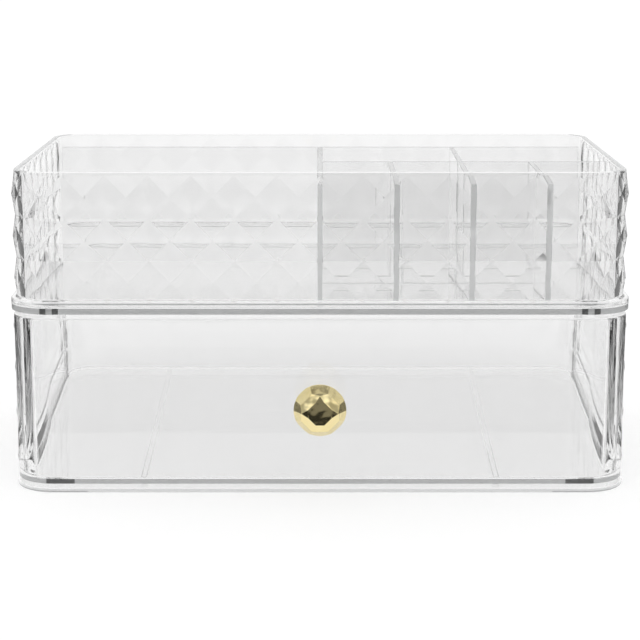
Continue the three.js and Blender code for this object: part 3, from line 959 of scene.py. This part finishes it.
@dataclass
class TrayModule:
    """Faceted tray with its partitions and dividers. Sizes are in millimetres."""

    finishes: Finishes
    corner_radius: float = 13.4
    facet_pitch: float = 16.3
    facet_rise: float = 1.2
    row_height: float = 16.4
    rows: int = 3
    wall: float = 2.1
    floor: float = 2.0
    foot_inset: float = 1.1
    foot_height: float = 1.2
    under_inset: float = 1.5
    floor_inset: float = 1.8
    edge: float = 0.35
    fillet: float = 0.6
    seam: float = 0.08
    plate_edge: float = 0.22
    halving_play: float = 0.15
    # The partition whose top is painted white, a painted highlight
    highlight_top: str = "front_partition"

    def make_shell(self) -> Piece:
        """Foot, faceted wall, smooth rim and floor in one moulding.

        Rings of points go up the outside, over the rim and down the smooth inside. The foot is painted deep
        grey, a painted shade. The rim is painted white in front and behind, a painted highlight, and grey at
        the sides, a painted shade.
        """
        low, high = cad_box_mm("tray_shell")
        plan = Plan(high.x - self.facet_rise, high.y - self.facet_rise, self.corner_radius)
        feet = low.z + self.foot_height
        heights = tuple(feet + k * self.row_height for k in range(self.rows + 1))
        grid = FacetGrid(plan, self.facet_pitch, self.facet_rise, heights)
        places, levels = grid.places(), grid.levels()
        out, splits = grid.surface(places, levels, True)
        foot = -self.foot_inset
        inside = -self.wall
        floor = low.z + self.floor
        rows = [(foot - self.under_inset, low.z)]
        rows += rounding(Corner.OUT_BOTTOM, self.edge, foot, low.z)
        rows.append((foot, feet))
        first = len(rows)
        rows += zip(out, levels)
        rows += rounding(Corner.OUT_TOP, self.edge, 0.0, high.z)
        rows += rounding(Corner.IN_TOP, self.edge, inside, high.z)
        rows += rounding(Corner.IN_BOTTOM, self.fillet, inside, floor, steps=3)
        rows.append((inside - self.floor_inset, floor))
        slants = np.zeros((len(rows) - 1, len(places)), dtype=int)
        slants[first : first + len(levels) - 1] = splits
        points = swept_points(*plan.at(places), rows)
        piece = ring_piece("tray_moulding", points, self.finishes.acrylic, CRISP_FACETS, slants)
        faces = Faces(piece)
        x, _, z = np.abs(faces.at)
        # Painted shade: the foot is deep grey
        faces.paint(self.finishes.deep_edge, (np.abs(faces.out[2]) < BESIDE) & (z < feet))
        # Painted highlight: the rim is white in front and behind; painted shade: grey at the sides
        rim = (faces.out[2] > LEANING) & (z > high.z - self.edge)
        beside = high.x - self.facet_rise - self.corner_radius / 2
        faces.paint(self.finishes.rim, rim)
        faces.paint(self.finishes.edge, rim & (x > beside))
        return piece

    def make_plate(self, node: str, crossings: Sequence[str], from_top: bool) -> Piece:
        """One partition or divider, with halving slots for others, a hair short of what it touches.

        Args:
            node: its CAD node.
            crossings: the CAD nodes that pass through its slots.
            from_top: whether its slots run in from the top.

        Returns:
            The new object.
        """
        low, high = cad_box_mm(node)
        along_x = high.x - low.x > high.y - low.y
        way = 1 if from_top else -1
        slots = []
        for other in crossings:
            other_low, other_high = cad_box_mm(other)
            start, end = (other_low.x, other_high.x) if along_x else (other_low.y, other_high.y)
            half = way * ((end - start) / 2 + self.halving_play)
            until = (low.z + high.z) / 2 - way * self.halving_play
            slots.append(((start + end) / 2, half, until))
        low.z += self.seam
        shorten = Vector((self.seam, 0, 0)) if along_x else Vector((0, self.seam, 0))
        low, high = low + shorten, high - shorten
        # Painted highlight on the top of one partition only
        rim = node == self.highlight_top
        return plate_piece(f"{node}_plate", low, high, slots, self.finishes, self.plate_edge, highlight_top=rim)

    def build(self) -> None:
        """Builds the tray and hands its pieces to the frame."""
        dress(self.make_shell(), Body.TRAY, Slot.ACRYLIC, "tray_shell")
        crossings = {
            "rear_partition": (),
            "middle_partition": ("divider_3",),
            "front_partition": ("divider_2", "divider_3"),
            "divider_1": (),
            "divider_2": ("front_partition",),
            "divider_3": ("front_partition", "middle_partition"),
            "divider_4": (),
        }
        for node, others in crossings.items():
            piece = self.make_plate(node, others, from_top=node.startswith("divider"))
            dress(piece, Body.TRAY, Slot.ACRYLIC, node)


# Studio


@dataclass(frozen=True)
class Sums:
    """Adds nodes that do sums on numbers and sockets to one node tree."""

    tree: Tree

    def apply(self, operation: str, *values: Any) -> Socket:
        """Returns the result of one operation."""
        inputs = dict(enumerate(values))
        return add_node(self.tree, "Math", inputs, operation=operation).outputs[0]

    def product(self, first: Any, second: Any) -> Socket:
        """Returns the first value times the second."""
        return self.apply("MULTIPLY", first, second)

    def mix(self, share: Any, first: Any, second: Any) -> Socket:
        """Returns the first value where the share is 0, and the second where it is 1."""
        inputs = {0: share, 2: first, 3: second}
        return add_node(self.tree, "Mix", inputs, data_type="FLOAT").outputs[0]

    def ramp(self, value: Any, turn: Pair, low: float, high: float) -> Socket:
        """Returns a smooth step of a value, from low where the turn starts to high where it ends."""
        inputs = {"Value": value, "From Min": turn[0], "From Max": turn[1], "To Min": low, "To Max": high}
        node = add_node(self.tree, "MapRange", inputs, interpolation_type="SMOOTHSTEP")
        return node.outputs["Result"]


@dataclass
class Studio:
    """White floor, studio light and camera. Lengths are in metres, and brightness is 1 for paper white.

    The camera sees plain white round the object. Acrylic and metal mirror a room: white paper under the
    object, a white wall behind, a dim band low down in front and far out at the sides, a dim zenith, and two
    soft boxes high at the sides, each in a darker halo. The paper has a dark flag at each side of the object
    and a dark gap where it ends in front. A turn is where a soft change starts and ends, a place or a part
    of a direction.
    """

    wall_white: float = 0.93
    room_dim: float = 0.2
    room_turn: Pair = (-0.1, 0.5)
    side_dim: float = 0.2
    side_turn: Pair = (0.62, 0.9)
    upper_turn: Pair = (0.13, 0.22)
    zenith: float = 0.2
    zenith_turn: Pair = (0.86, 0.95)
    box_direction: Triple = (0.69, -0.47, 0.55)
    box_white: float = 1.3
    box_turn: Pair = (0.982, 0.992)
    box_halo: float = 0.45
    halo_turn: Pair = (0.93, 0.96)
    paper_albedo: str = "#e6e6e6"
    paper_lift: float = 0.05
    floor_half: float = 6.0
    paper_side: float = 0.26
    paper_side_dim: float = 0.12
    soft_edge: float = 0.04
    flag_place: Pair = (0.175, -0.005)
    flag_half: Pair = (0.035, 0.02)
    flag_soft: float = 0.01
    flag_depth: float = 0.95
    mirror_front: float = -0.175
    gap_dark: float = 0.02
    gap_soft: float = 0.012
    gap_end: Pair = (0.045, 0.035)
    clear_front: float = -0.5
    camera_distance: float = 0.69
    camera_height: float = 0.215
    aim_height: float = 0.054
    clip_start: float = 0.05
    pixels_per_mm: float = 2.68
    picture_pixels: int = 640
    sensor_mm: float = 36.0
    bounces: int = 56

    def by_path(self, sums: Sums, path: Any, room: Socket) -> Socket:
        """Chooses what a ray sees of the studio.

        Args:
            sums: sums in the node tree to add to.
            path: outputs of the Light Path node.
            room: brightness of the room for a ray that a surface has mirrored.

        Returns:
            1 for the camera and rough surfaces, nearly white for a ray that only passes through clear
            walls, and the room once a surface has mirrored the ray.
        """
        mirrored = sums.apply("MINIMUM", path["Glossy Depth"], 1.0)
        clear = sums.mix(mirrored, self.wall_white, room)
        shiny = sums.apply("MAXIMUM", path["Is Glossy Ray"], path["Is Transmission Ray"])
        shiny = sums.product(shiny, sums.apply("SUBTRACT", 1.0, path["Is Camera Ray"]))
        return sums.mix(shiny, 1.0, clear)

    def make_world(self) -> None:
        """World: white to the camera and to rough surfaces, and a room to mirrors and clear walls."""
        world = bpy.context.scene.world = bpy.data.worlds.new("studio")
        world.use_nodes = True
        tree = world.node_tree
        tree.nodes.clear()
        sums = Sums(tree)
        direction = add_node(tree, "TexCoord").outputs["Generated"]
        axes = add_node(tree, "SeparateXYZ", {0: direction}).outputs
        side = sums.apply("ABSOLUTE", axes["X"])
        depth = sums.ramp(axes["Y"], self.room_turn, self.room_dim, self.wall_white)
        low = sums.product(depth, sums.ramp(side, self.side_turn, 1.0, self.side_dim))
        high = sums.ramp(axes["Z"], self.upper_turn, 0.0, self.wall_white)
        walls = sums.apply("MAXIMUM", low, high)
        folded = add_node(tree, "CombineXYZ", {0: side, 1: axes["Y"], 2: axes["Z"]})
        pair = {0: folded.outputs[0], 1: Vector(self.box_direction).normalized()}
        facing = add_node(tree, "VectorMath", pair, operation="DOT_PRODUCT").outputs["Value"]
        halo = sums.ramp(facing, self.halo_turn, 1.0, self.box_halo)
        box = sums.ramp(facing, self.box_turn, 0.0, self.box_white)
        top = sums.ramp(axes["Z"], self.zenith_turn, 1.0, self.zenith)
        room = sums.product(sums.product(walls, halo), top)
        room = sums.apply("MAXIMUM", room, box)
        light = self.by_path(sums, add_node(tree, "LightPath").outputs, room)
        white = add_node(tree, "Background", {"Color": linear(WHITE), "Strength": light})
        add_node(tree, "OutputWorld", {"Surface": white.outputs[0]})

    def make_floor(self) -> None:
        """White paper that glows just enough to read as white and keeps the object's shadow.

        It glows the part of the light that it can't send back, so unshaded paper has a brightness of 1. A
        ray that a surface has mirrored sees it run out in front, sooner from a mirror than through a clear
        wall.
        """
        half = self.floor_half
        corners = [(-half, -half, 0), (half, -half, 0), (half, half, 0), (-half, half, 0)]
        mesh = bpy.data.meshes.new("floor")
        mesh.from_pydata(corners, [], [(0, 1, 2, 3)])
        material, tree = new_material("floor_white_paper")
        sums = Sums(tree)
        place = add_node(tree, "TexCoord").outputs["Object"]
        axes = add_node(tree, "SeparateXYZ", {0: place}).outputs
        side = sums.apply("ABSOLUTE", axes["X"])
        path = add_node(tree, "LightPath").outputs
        soft = self.soft_edge
        turn = (self.paper_side - soft, self.paper_side + soft)
        across = sums.ramp(side, turn, 1.0, self.paper_side_dim)
        flag = []
        depths = (self.flag_depth, 1.0)
        for value, middle, reach, depth in zip((side, axes["Y"]), self.flag_place, self.flag_half, depths):
            away = sums.apply("ABSOLUTE", sums.apply("SUBTRACT", value, middle))
            flag.append(sums.ramp(away, (reach, reach + self.flag_soft), depth, 0.0))
        across = sums.product(across, sums.apply("SUBTRACT", 1.0, sums.product(*flag)))
        turn = (self.mirror_front - self.gap_soft, self.mirror_front)
        mirror = sums.ramp(axes["Y"], turn, self.gap_dark, 1.0)
        turn = (self.mirror_front - self.gap_end[0], self.mirror_front - self.gap_end[1])
        mirror = sums.apply("MAXIMUM", mirror, sums.ramp(axes["Y"], turn, self.room_dim, 0.0))
        turn = (self.clear_front - soft, self.clear_front + soft)
        clear = sums.ramp(axes["Y"], turn, self.room_dim, 1.0)
        paper = sums.product(sums.mix(path["Is Glossy Ray"], clear, mirror), across)
        share = self.by_path(sums, path, paper)
        albedo = linear(self.paper_albedo)[0]
        grey = sums.product(share, albedo)
        glow = sums.product(share, 1.0 - albedo + self.paper_lift)
        rough = add_node(tree, "BsdfDiffuse", {"Color": grey})
        light = add_node(tree, "Emission", {"Color": linear(WHITE), "Strength": glow})
        both = add_node(tree, "AddShader", {0: rough.outputs[0], 1: light.outputs[0]})
        add_node(tree, "OutputMaterial", {"Surface": both.outputs[0]})
        mesh.materials.append(material)
        floor = bpy.data.objects.new("floor", mesh)
        bpy.context.scene.collection.objects.link(floor)

    def make_camera(self) -> None:
        """Camera a little above the rim, between the two views that the photograph joins."""
        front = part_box("case_top")[0].y
        place = Vector((0.0, front - self.camera_distance, self.camera_height))
        aim = Vector((0.0, 0.0, self.aim_height))
        data = bpy.data.cameras.new("camera")
        data.sensor_width = self.sensor_mm
        focal_pixels = self.pixels_per_mm * self.camera_distance / MM
        data.lens = focal_pixels * self.sensor_mm / self.picture_pixels
        data.clip_start = self.clip_start
        camera = bpy.data.objects.new("camera", data)
        turned = (aim - place).to_track_quat("-Z", "Y").to_matrix().to_4x4()
        camera.matrix_world = Matrix.Translation(place) @ turned
        bpy.context.scene.collection.objects.link(camera)
        bpy.context.scene.camera = camera

    def build(self) -> None:
        """Sets the studio and how deep light is followed through clear walls."""
        self.make_world()
        self.make_floor()
        self.make_camera()
        scene = bpy.context.scene
        scene.view_settings.view_transform = "Standard"
        for kind in ("max", "transmission", "transparent_max", "glossy"):
            setattr(scene.cycles, f"{kind}_bounces", self.bounces)


def main() -> None:
    """Builds the studio and the organizer."""
    logging.basicConfig(level=logging.INFO, format="%(name)s: %(message)s")
    Studio().build()
    finishes = Finishes()
    CaseModule(finishes).build()
    DrawerModule(finishes).build()
    TrayModule(finishes).build()


if __name__ == "__main__":
    main()
